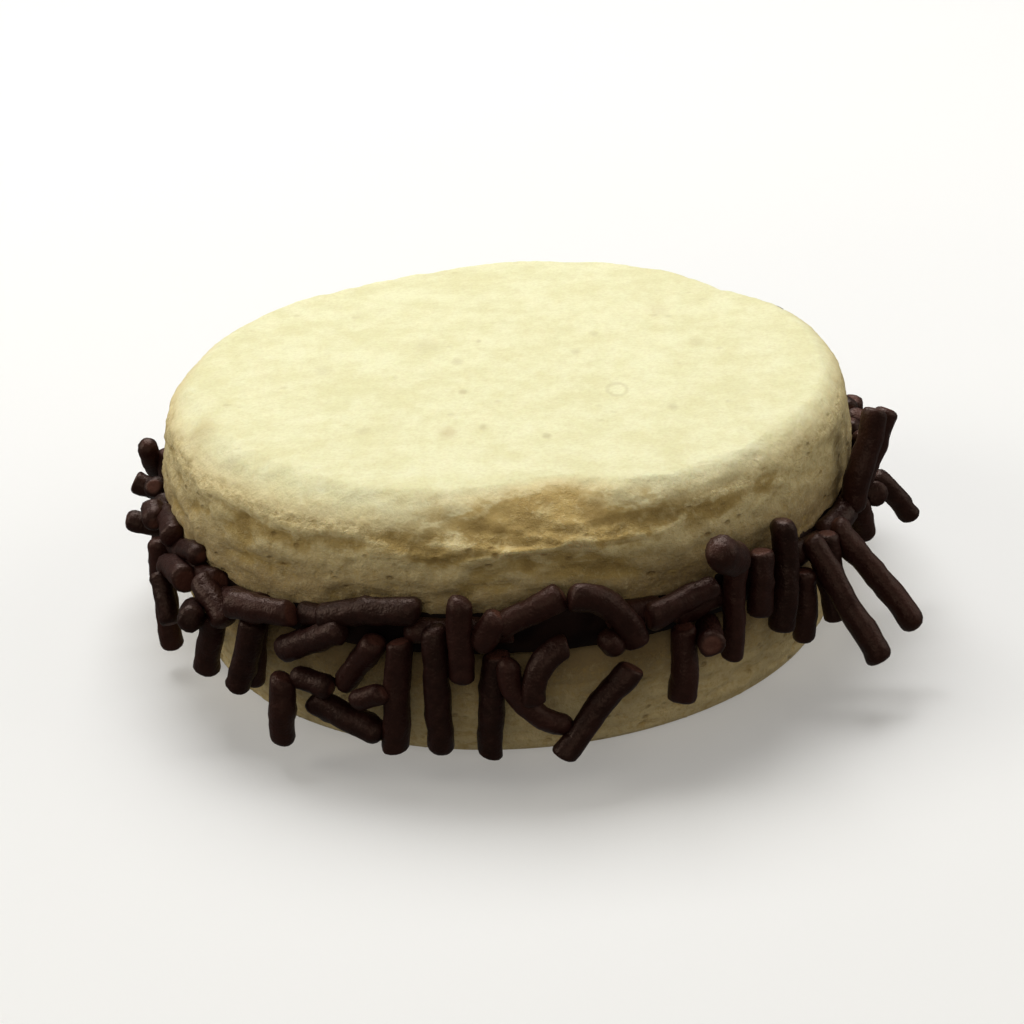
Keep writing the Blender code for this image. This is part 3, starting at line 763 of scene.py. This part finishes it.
sprinkleRule = {
    "radius": 0.88 * mm,  # of the solid, to the corners of its six sides
    "touchEnd": 0.45 * mm,
    "flatShare": 0.87,
    "points": 12,
    "sink": 0.18 * mm,
    "press": 0.82,
    "fillerPress": 0.6,
    "neighbourReach": 12 * mm,
    "lowest": 1.4 * mm,
    "startOut": 30 * mm,
    "slideStep": 0.1 * mm,
    "raiseStep": 0.3,
    "raiseTries": 10,
    "placedReach": 29 * mm,
    "drawnReach": 26.4 * mm,
    "fillerReach": 24.3 * mm,
    "shownHalf": 102,
    "girths": (0.9, 1.06),
    "outlinePoints": 12,  # along each edge of the outlines that they keep clear of
    "seed": 11,
    # around, up, turn, lift, length, bend, girth
    "placed": [
        (-22, 10.7, 10, 0, 6.6, 0, 1), (-12, 6.2, -89, 4, 8, -4, 1), (-8.2, 9.5, -92, 2, 5.4, 0, 0.95),
        (-18, 5.6, -95, 3, 7.4, 0, 1), (-4.3, 5.2, -96, 4, 6.6, 0, 1), (1.8, 11.1, 25, 0, 4.4, -14, 1),
        (0.2, 5.4, -52, 1, 6.4, 100, 0.9), (9.8, 4.9, 47, -6, 6.8, 0, 0.95),
        (23.8, 10.2, 14, 0, 4.8, 0, 1), (13.4, 10.9, -45, 3, 5.8, -75, 1),
        (2.4, 7.9, -121, 14, 4.4, 85, 0.95), (24, 6, -92, 3, 4.9, 0, 1.05),
        (27.6, 7.8, 165, 58, 3.4, 0, 1), (33, 8.9, -92, 0, 7.4, 0, 0.9),
        (29.6, 13.2, -38, -12, 3.2, 0, 1.15), (37.6, 9.7, -92, 2, 4.2, 0, 0.95),
        (42.4, 9.4, -96, 3, 7.2, -8, 1.05), (47.6, 6.4, -94, 3, 4.8, 0, 0.9),
        (56.5, 5.6, -90, 12, 4.4, 0, 0.9), (50.5, 6.9, -90, 36, 8.8, 0, 1),
        (57.8, 7.2, -90, 42, 8.4, 0, 1), (67.5, 13, 77, 9, 6.6, 0, 1.05), (75, 12.4, 77, 17, 5.4, 0, 1),
        (78, 8.6, 158, 13, 3.6, 0, 1), (82, 7.6, -82, 36, 4.4, 0, 0.95), (88, 9.6, -85, 12, 3.2, 0, 0.95),
        (-23.6, 7.3, 52, 4, 4.6, 0, 1), (-21.4, 5.8, 28, 0, 2.4, 0, 0.85), (-26, 3.7, -16, 4, 5, 0, 1.05),
        (-30.5, 5.9, -8, 0, 2.8, 0, 0.9), (-31, 8.3, 27, 4, 5.4, 0, 1.05),
        (-34.8, 3.9, -96, 3, 4.6, 0, 1), (-51, 8.6, -30, 5, 3.6, 0, 1.05),
        (-39.5, 9.7, 4, -12, 4.6, 0, 1.05), (-52, 5, -101, 5, 4.2, 0, 1),
        (-44.5, 4.6, -95, 2, 4.6, 0, 0.9), (-53, 7.7, 26, 31, 3.4, 0, 1.05),
        (-43.5, 6.2, -104, 10, 5.2, 10, 1), (-62, 8.9, 8, 5, 4.2, 0, 1.1),
        (-64, 6.8, -60, 5, 3.4, 0, 0.9), (-72, 5.4, -87, 2, 7.8, 8, 0.95),
        (-84, 8.3, 90, 72, 2.6, 0, 0.95), (-95, 8.7, 80, 64, 2.5, 0, 0.95),
        (-90, 6, -84, 10, 4.6, 0, 0.95), (-101, 7.2, -95, 6, 6.4, 0, 1),
    ],
    # how many, height, middle and spread of turn, lift, length, bend
    "drawn": [
        (14, (9.8, 10.8), (0, 14), (0, 2), (3.4, 6.4), (-30, 30)),
        (38, (5.9, 7.4), (-90, 8), (0, 8), (4.2, 8.0), (-20, 20)),
        (12, (6.2, 9.4), (-90, 55), (0, 12), (3.0, 6.2), (-70, 70)),
        (8, (10.8, 12.4), (85, 12), (4, 14), (3.4, 6.2), (0, 0)),
        (8, (6.6, 8.2), (-90, 25), (28, 48), (4.4, 8.0), (0, 0)),
    ],
    "filler": (20, (8.3, 10.2), (-90, 70), (-8, 8), (1.2, 2.8), (0, 0)),
}


def outward(around):
    return np.array([sin(radians(around)), -cos(radians(around)), 0.0])


def spineFrame(sprinkle):  # heading along it, and aside in the plane that it bends in
    place = radians(sprinkle.around)
    turn = radians(sprinkle.turn)
    lift = radians(sprinkle.lift)
    along = np.array([cos(place), sin(place), 0.0])
    upward = np.array([0.0, 0.0, 1.0])
    heading = cos(lift) * (cos(turn) * along + sin(turn) * upward) + sin(lift) * outward(sprinkle.around)
    aside = -sin(turn) * along + cos(turn) * upward
    return heading, aside


def spine(sprinkle, out, shares):
    heading, aside = spineFrame(sprinkle)
    bend = radians(sprinkle.bend)
    line = []
    for share in shares:
        if bend:
            radius = sprinkle.length / bend
            line.append(heading * radius * sin(bend * share) + aside * radius * (1 - cos(bend * share)))
        else:
            line.append(heading * sprinkle.length * share)
    return (np.array(line) + np.array([0.0, 0.0, sprinkle.up])) * mm + outward(sprinkle.around) * out


def denseOutline(profile):
    points = []
    for start, end in zip(profile, profile[1:]):
        for share in np.linspace(0, 1, sprinkleRule["outlinePoints"], endpoint=False):
            points.append(np.array(start) * (1 - share) + np.array(end) * share)
    return np.array(points)


def distanceToOutline(line, outline):
    flat = np.stack([np.hypot(line[:, 0], line[:, 1]), line[:, 2]], axis=1)
    return np.min(np.linalg.norm(flat[:, None] - outline[None], axis=2))


def bodyOf(sprinkle, out):  # its middle line but for the ends, and the radius of its flat sides
    rule = sprinkleRule
    half = 0.5 - rule["touchEnd"] / (sprinkle.length * mm)
    line = spine(sprinkle, out, np.linspace(-half, half, rule["points"]))
    return line, rule["radius"] * sprinkle.girth * rule["flatShare"]


def slideIn(sprinkle, laid, walls, filling, press, wallGap=gap):
    # from outside in, until it touches the filling or another one: how far out it then is
    rule = sprinkleRule
    whole = spine(sprinkle, 0.0, np.linspace(-0.5, 0.5, rule["points"]))
    body, flatRadius = bodyOf(sprinkle, 0.0)
    middle = body.mean(axis=0) + outward(sprinkle.around) * fillingForm["reach"]
    reach = rule["neighbourReach"]
    near = [other for other in laid if np.linalg.norm(other[0].mean(axis=0) - middle) < reach]
    out = rule["startOut"]
    while out > 0:
        step = outward(sprinkle.around) * out
        if distanceToOutline(whole + step, walls) < rule["radius"] * sprinkle.girth + wallGap:
            return None
        if distanceToOutline(body + step, filling) < flatRadius - rule["sink"]:
            return out
        for other, otherRadius in near:
            apart = np.linalg.norm((body + step)[:, None] - other[None], axis=2)
            if np.min(apart) < (flatRadius + otherRadius) * press:
                return out
        out -= rule["slideStep"]
    return None


def settle(sprinkle, laid, walls, filling, press):
    for tries in range(sprinkleRule["raiseTries"] + 1):
        raised = sprinkle._replace(up=sprinkle.up + tries * sprinkleRule["raiseStep"])
        out = slideIn(raised, laid, walls, filling, press)
        if out is not None:
            return raised, out
    return None


def drawKind(draw, kind, first, last):
    count, heights, (turn, spread), *others = kind
    ranges = [(first, last), heights, (turn - spread, turn + spread), *others, sprinkleRule["girths"]]
    return [Sprinkle(*(draw.uniform(*limits) for limits in ranges)) for _ in range(count)]


def laySprinkles(walls, filling):
    rule = sprinkleRule
    draw = random.Random(rule["seed"])
    trials = [(Sprinkle(*values), rule["press"], rule["placedReach"]) for values in rule["placed"]]
    for kind in rule["drawn"]:
        for sprinkle in drawKind(draw, kind, rule["shownHalf"], 360 - rule["shownHalf"]):
            trials.append((sprinkle, rule["press"], rule["drawnReach"]))
    for sprinkle in drawKind(draw, rule["filler"], -rule["shownHalf"], rule["shownHalf"]):
        trials.append((sprinkle, rule["fillerPress"], rule["fillerReach"]))
    found = []
    laid = []
    for sprinkle, press, reach in trials:
        settled = settle(sprinkle, laid, walls, filling, press)
        if settled is None or settled[1] > reach:
            continue
        if spine(*settled, (-0.5, 0.5))[:, 2].min() >= rule["lowest"]:
            found.append(settled)
            laid.append(bodyOf(*settled))
    return found, laid


# short ones pressed into the corners between the others, which the solid leaves out
tuckedSprinkles = {
    # around, up, turn, lift, length, bend, girth, and how far out, in mm
    "placed": [
        (-47, 8.8, 14, 0, 4.8, 0, 1, 23.3), (-57, 9.2, 10, 0, 4, 0, 0.95, 23.2),
        (-68, 9.4, 6, 0, 3.8, 0, 1, 23.2), (62, 9.7, 4, 0, 5, 0, 1, 23.4),
        (71, 9.9, 8, 0, 3.6, 0, 0.95, 23.3), (52, 9.3, -4, 0, 3.4, 0, 0.95, 23),
        (17.2, 9.7, 2, 0, 3.4, 0, 0.95, 23.1), (28, 9, 8, 0, 3.6, 0, 0.95, 22.9),
        (-13, 9.6, 3, 0, 2.8, 0, 0.95, 23.2), (-4.2, 9.6, -2, 0, 2.6, 0, 0.95, 23.2),
        (-30.6, 9.6, 6, 0, 2.8, 0, 0.95, 23.1),
    ],
    "kinds": [
        (110, (8.6, 10.4), (0, 26), (-6, 8), (2.0, 4.6), (-16, 16)),
        (60, (7.6, 9.6), (-90, 50), (-6, 10), (1.6, 3.6), (-20, 20)),
    ],
    "reach": 24.3 * mm,
    "wallGap": -0.5 * mm,
    "press": 0.62,
    "seed": 4,
}


def tuckIn(laid, walls, filling):
    user = tuckedSprinkles
    draw = random.Random(user["seed"])
    tucked = [(Sprinkle(*values[:7]), values[7] * mm) for values in user["placed"]]
    for kind in user["kinds"]:
        for sprinkle in drawKind(draw, kind, -180, 180):
            out = slideIn(sprinkle, laid, walls, filling, user["press"], user["wallGap"])
            if out is None or out > user["reach"]:
                continue
            tucked.append((sprinkle, out))
            laid.append(bodyOf(sprinkle, out))
    print("tucked in", len(tucked))
    return tucked


sprinkleLook = {
    "radius": 0.82 * mm,
    "thickFrom": 1.1,  # girth from which one counts as the thick one
    "thickest": 1.12,
    "blunt": 0.74,  # how rounded the thick one's ends are, as a share of its radius
    "sides": 14,
    "ringEvery": 0.6 * mm,
    "endRound": 0.36 * mm,
    "endRounds": (0.6, 1.6),
    "endSteps": 3,
    "endFrom": 0.6 * mm,  # the length at each end that domes and slants
    "endInset": 0.35,
    "endDome": 0.22,
    "domes": (-0.3, 1.0),
    "cutDomes": (0.2, 0.8),  # flatter ends look cut
    "slants": (-0.25, 0.25),
    "oval": 0.07,  # shares of the radius
    "taper": 0.06,
    "lumps": 0.15,
    "lumpSize": 1.05 * mm,
    "fineLumps": (0.5, 0.45),  # strength and size, as shares of the others
    "sway": 0.24 * mm,  # sideways, along its length
    "swaySize": 2.6 * mm,
    "noiseSpread": 50,
    "seed": 5,
    "darkColour": (0.0105, 0.0024, 0.0018),
    "lightColour": (0.042, 0.0132, 0.01),
    "cutColour": (0.1, 0.037, 0.026),
}


def roundedRod(length, radius, rounding):
    look = sprinkleLook
    sides = look["sides"]
    rod = bmesh.new()
    bmesh.ops.create_cone(rod, cap_ends=True, segments=sides, radius1=radius, radius2=radius, depth=length)
    rims = [edge for edge in rod.edges if abs(edge.verts[0].co.z - edge.verts[1].co.z) < tiny]
    bmesh.ops.bevel(
        rod, geom=rims, offset=rounding, segments=look["endSteps"], profile=0.5, affect="EDGES", material=-1,
    )
    longEdges = [edge for edge in rod.edges if abs(edge.verts[0].co.z - edge.verts[1].co.z) > length / 4]
    cuts = max(2, round(length / look["ringEvery"]))
    bmesh.ops.subdivide_edges(rod, edges=longEdges, cuts=cuts, use_grid_fill=True)
    caps = [face for face in rod.faces if len(face.verts) == sides]
    bmesh.ops.inset_region(rod, faces=caps, thickness=(radius - rounding) * look["endInset"])
    caps = [face for face in rod.faces if len(face.verts) == sides]
    bmesh.ops.poke(rod, faces=caps)
    return rod


def makeSprinkle(sprinkle, out, draw):
    look = sprinkleLook
    length = sprinkle.length * mm
    thick = sprinkle.girth > look["thickFrom"]
    radius = look["radius"] * sprinkle.girth * (look["thickest"] if thick else 1)
    rounding = look["endRound"] * draw.uniform(*look["endRounds"])
    rod = roundedRod(length, radius, radius * look["blunt"] if thick else rounding)
    heading, aside = spineFrame(sprinkle)
    bend = radians(sprinkle.bend)
    third = np.cross(heading, aside)
    oval = draw.uniform(0, look["oval"])
    turn = draw.uniform(0, pi)
    taper = draw.uniform(-look["taper"], look["taper"])
    seed = Vector([draw.uniform(0, look["noiseSpread"]) for _ in range(3)])
    domes = [draw.uniform(*look["domes"]) for _ in range(2)]
    slants = [draw.uniform(*look["slants"]) for _ in range(2)]
    cuts = [1 - smoothStep(*look["cutDomes"], dome) for dome in domes]
    shade = draw.random()
    fineLumps, fineSize = look["fineLumps"]
    half = 0.5 * length
    ends = []
    for vertex in rod.verts:
        x, y, z = vertex.co
        end = 1 if z > 0 else 0
        angle = atan2(y, x)
        lump = noise.noise(vertex.co / look["lumpSize"] + seed)
        lump += fineLumps * noise.noise(vertex.co / (look["lumpSize"] * fineSize) + seed)
        scale = 1 + oval * cos(2 * (angle - turn)) + taper * z / half + look["lumps"] * lump
        nearEnd = smoothStep(half - look["endFrom"], half, abs(z))
        ends.append(smoothStep(half - 5 * tiny, half, abs(z)) * cuts[end])
        domed = domes[end] * look["endDome"] * radius * (1 - (hypot(x, y) / radius) ** 2) * nearEnd
        z += (domed if z > 0 else -domed) + slants[end] * x * nearEnd
        along = Vector((0, 0, z / look["swaySize"]))
        swayed = look["sway"] * noise.noise(along + seed), look["sway"] * noise.noise(along - seed)
        if bend:
            angle = bend * z / length
            across = -sin(angle) * heading + cos(angle) * aside
            middle = (heading * sin(angle) + aside * (1 - cos(angle))) * length / bend
        else:
            across = aside
            middle = heading * z
        place = middle + across * (x * scale + swayed[0]) + third * (y * scale + swayed[1])
        place += outward(sprinkle.around) * out
        place[2] += sprinkle.up * mm
        vertex.co = place
    bmesh.ops.recalc_face_normals(rod, faces=rod.faces)
    mesh = bpy.data.meshes.new("rod")
    rod.to_mesh(mesh)
    rod.free()
    return mesh, [shade] * len(ends), ends


def sprinkleFinish():
    look = sprinkleLook
    finish = Finish("sprinkleChocolate", Specular_IOR_Level=0.36, Specular_Tint=(1.0, 0.7, 0.56, 1.0))
    small = finish.noise(0.7, 3.0, 0.6)
    grain = finish.noise(0.16, 2.0)
    rings = finish.noise(0.5, 2.0)
    lightness = finish.attribute("shade") * 0.6 + small.step(0.35, 0.75, 0.4)
    base = finish.mix(lightness, look["darkColour"], look["lightColour"])
    base = finish.mix(finish.attribute("cutEnd") * 0.85, base, look["cutColour"])
    normal = finish.bump(small * 0.8 + grain * 0.3 + rings * 0.5, 0.12, 1.0)
    return finish.feed(Base_Color=base, Roughness=0.28 + small * 0.3, Normal=normal)


def makeSprinkles():
    low = lowerBiscuit["faces"][1]
    high = upperBiscuit["faces"][0]
    walls = [denseOutline(biscuitProfile(user)[1:-1]) for user in (lowerBiscuit, upperBiscuit)]
    walls = np.concatenate(walls)
    filling = fillingProfile(low + gap, high - gap, fillingForm["reach"])
    found, laid = laySprinkles(walls, denseOutline(filling[1:-1]))
    core = fillingProfile(low, high, fillingLook["reach"])
    found += tuckIn(laid, walls, denseOutline(core[1:-1]))
    draw = random.Random(sprinkleLook["seed"])
    edit = bmesh.new()
    shades = []
    ends = []
    for sprinkle, out in found:
        rod, rodShades, rodEnds = makeSprinkle(sprinkle, out, draw)
        edit.from_mesh(rod)
        shades += rodShades
        ends += rodEnds
        bpy.data.meshes.remove(rod)
    piece = newObject("chocolateSprinkles", edit)
    addValues(piece, "shade", shades)
    addValues(piece, "cutEnd", ends)
    print("sprinkles", len(found), "vertices", len(piece.data.vertices))
    finished(piece, sprinkleFinish(), "chocolate", "sprinkled_filling")


# ---- filling

fillingLook = {
    "reach": 22.8 * mm,
    "bumpDepth": 0.14,
    "bumpMiddle": 0.4,
    "bumpSize": 1.6,
    "seed": 2.0,
    # painted shade: the caramel is coloured near black, as the filling only shows in deep shade between the
    # sprinkles
    "darkColour": (0.007, 0.0025, 0.0018),
    "lightColour": (0.02, 0.008, 0.005),
}


def fillingFinish():
    look = fillingLook
    finish = Finish("milkCaramel", Specular_IOR_Level=0.12)
    small = finish.noise(0.6, 3.0)
    light = finish.noise(2.4, 2.0).step(0.45, 0.7)
    base = finish.mix(light, look["darkColour"], look["lightColour"])
    return finish.feed(Base_Color=base, Roughness=0.5 + small * 0.2, Normal=finish.bump(small, 0.1, 0.6))


def makeFilling():
    look = fillingLook
    profile = fillingProfile(lowerBiscuit["faces"][1], upperBiscuit["faces"][0], look["reach"])
    edit = turned(profile, fillingForm["steps"])
    bmesh.ops.subdivide_edges(edit, edges=edit.edges, cuts=1, use_grid_fill=True, smooth=0.2)
    for vertex in edit.verts:
        place = vertex.co
        radius = hypot(place.x, place.y)
        if radius > fillingForm["flat"]:
            swell = noiseAt(place, look["bumpSize"], look["seed"]) - look["bumpMiddle"]
            place.xy *= (radius + look["bumpDepth"] * mm * swell) / radius
    finished(newObject("fillingCore", edit), fillingFinish(), "caramel", "sprinkled_filling")


# ---- studio

studio = {
    "floorSize": 0.45,  # in metres, as all of the studio is
    "wallRound": 0.25,
    "wallHigh": 0.5,
    "wallSteps": 12,
    "floorTurns": 96,
    "floorColour": (0.68, 0.68, 0.67),
    "floorGlow": 0.21,
    "wallGlow": 0.7,
    "glowColour": (1.0, 0.99, 0.97),
    "glowRise": (0.0, 0.2),  # heights between which the floor's glow turns into the wall's
    "worldColour": (1.0, 0.95, 0.88, 1.0),
    "worldPower": 0.1,
    # place, aim, size, power and colour
    "lights": {
        "overhead": ((-0.03, 0.21, 0.39), (0, 0, 0), (0.34, 0.28), 1.82, (1, 1, 1)),
        "leftFill": ((-0.42, 0.0, 0.24), (0, 0, 0.01), (0.25, 0.25), 0.68, (1.0, 0.96, 0.87)),
        "rightFill": ((0.42, 0.0, 0.24), (0, 0, 0.01), (0.5, 0.42), 0.6, (1.0, 0.96, 0.87)),
        "frontFill": ((-0.05, -0.42, 0.2), (0, 0, 0.01), (0.3, 0.3), 0.25, (1.0, 0.92, 0.8)),
    },
    "distance": 154 * mm,  # from the middle of the upper face
    "elevation": 21.76,  # degrees above it
    "aimBelow": 3.6,  # degrees that the camera looks below that middle
    "roll": -3.3,
    "lens": 81.5,
}


def makeCamera():
    user = studio
    data = bpy.data.cameras.new("camera")
    data.sensor_width = 36
    data.lens = user["lens"]
    data.clip_start = 0.005
    camera = placed("camera", data)
    elevation = radians(user["elevation"])
    top = upperBiscuit["faces"][1]
    place = Vector((0, -user["distance"] * cos(elevation), top + user["distance"] * sin(elevation)))
    pitch = pi / 2 - elevation - radians(user["aimBelow"])
    turn = Matrix.Rotation(pitch, 4, "X") @ Matrix.Rotation(radians(user["roll"]), 4, "Z")
    camera.matrix_world = Matrix.Translation(place) @ turn
    bpy.context.scene.camera = camera


def areaLight(name, place, aim, size, power, colour):
    data = bpy.data.lights.new(name, "AREA")
    data.shape = "RECTANGLE"
    data.size, data.size_y = size
    data.energy = power
    data.color = colour
    light = placed(name, data)
    light.location = place
    light.rotation_euler = (Vector(aim) - Vector(place)).to_track_quat("-Z", "Y").to_euler()


def floorFinish():
    user = studio
    finish = Finish("paleFloor", Roughness=0.9, Specular_IOR_Level=0.1, Emission_Strength=user["wallGlow"])
    height = finish.node("ShaderNodeSeparateXYZ", {}, {"Vector": finish.place}, "Z")
    glow = tuple(value * user["floorGlow"] / user["wallGlow"] for value in user["glowColour"])
    glow = finish.mix(height.step(*user["glowRise"]), glow, user["glowColour"])
    tone = finish.noise(60, 2.0).step(0.3, 0.7, 0.3)
    darker = tuple(value * 0.97 for value in user["floorColour"])
    return finish.feed(Base_Color=finish.mix(tone, user["floorColour"], darker), Emission_Color=glow)


def makeStudio():
    user = studio
    size = user["floorSize"]
    curve = arc((size, user["wallRound"]), user["wallRound"], -90, 0, user["wallSteps"])
    profile = [(0.0, 0.0), (size / 2, 0.0), *curve, (size + user["wallRound"], user["wallHigh"])]
    floor = newObject("floor", turned(profile[::-1], user["floorTurns"]))
    floor.data.materials.append(floorFinish())
    floor.data.shade_smooth()
    floor.visible_diffuse = False  # so that it doesn't light the part from below
    floor.visible_glossy = False
    for name, values in user["lights"].items():
        areaLight(name, *values)
    world = bpy.data.worlds.new("studio")
    world.use_nodes = True
    background = world.node_tree.nodes["Background"].inputs
    background["Color"].default_value = user["worldColour"]
    background["Strength"].default_value = user["worldPower"]
    bpy.context.scene.world = world
    bpy.context.scene.view_settings.view_transform = "Standard"


makeBiscuit(upperBiscuit, "biscuit_top", "upper_biscuit")
makeBiscuit(lowerBiscuit, "biscuit_bottom", "lower_biscuit")
makeFilling()
makeSprinkles()
makeStudio()
makeCamera()
print("finished")
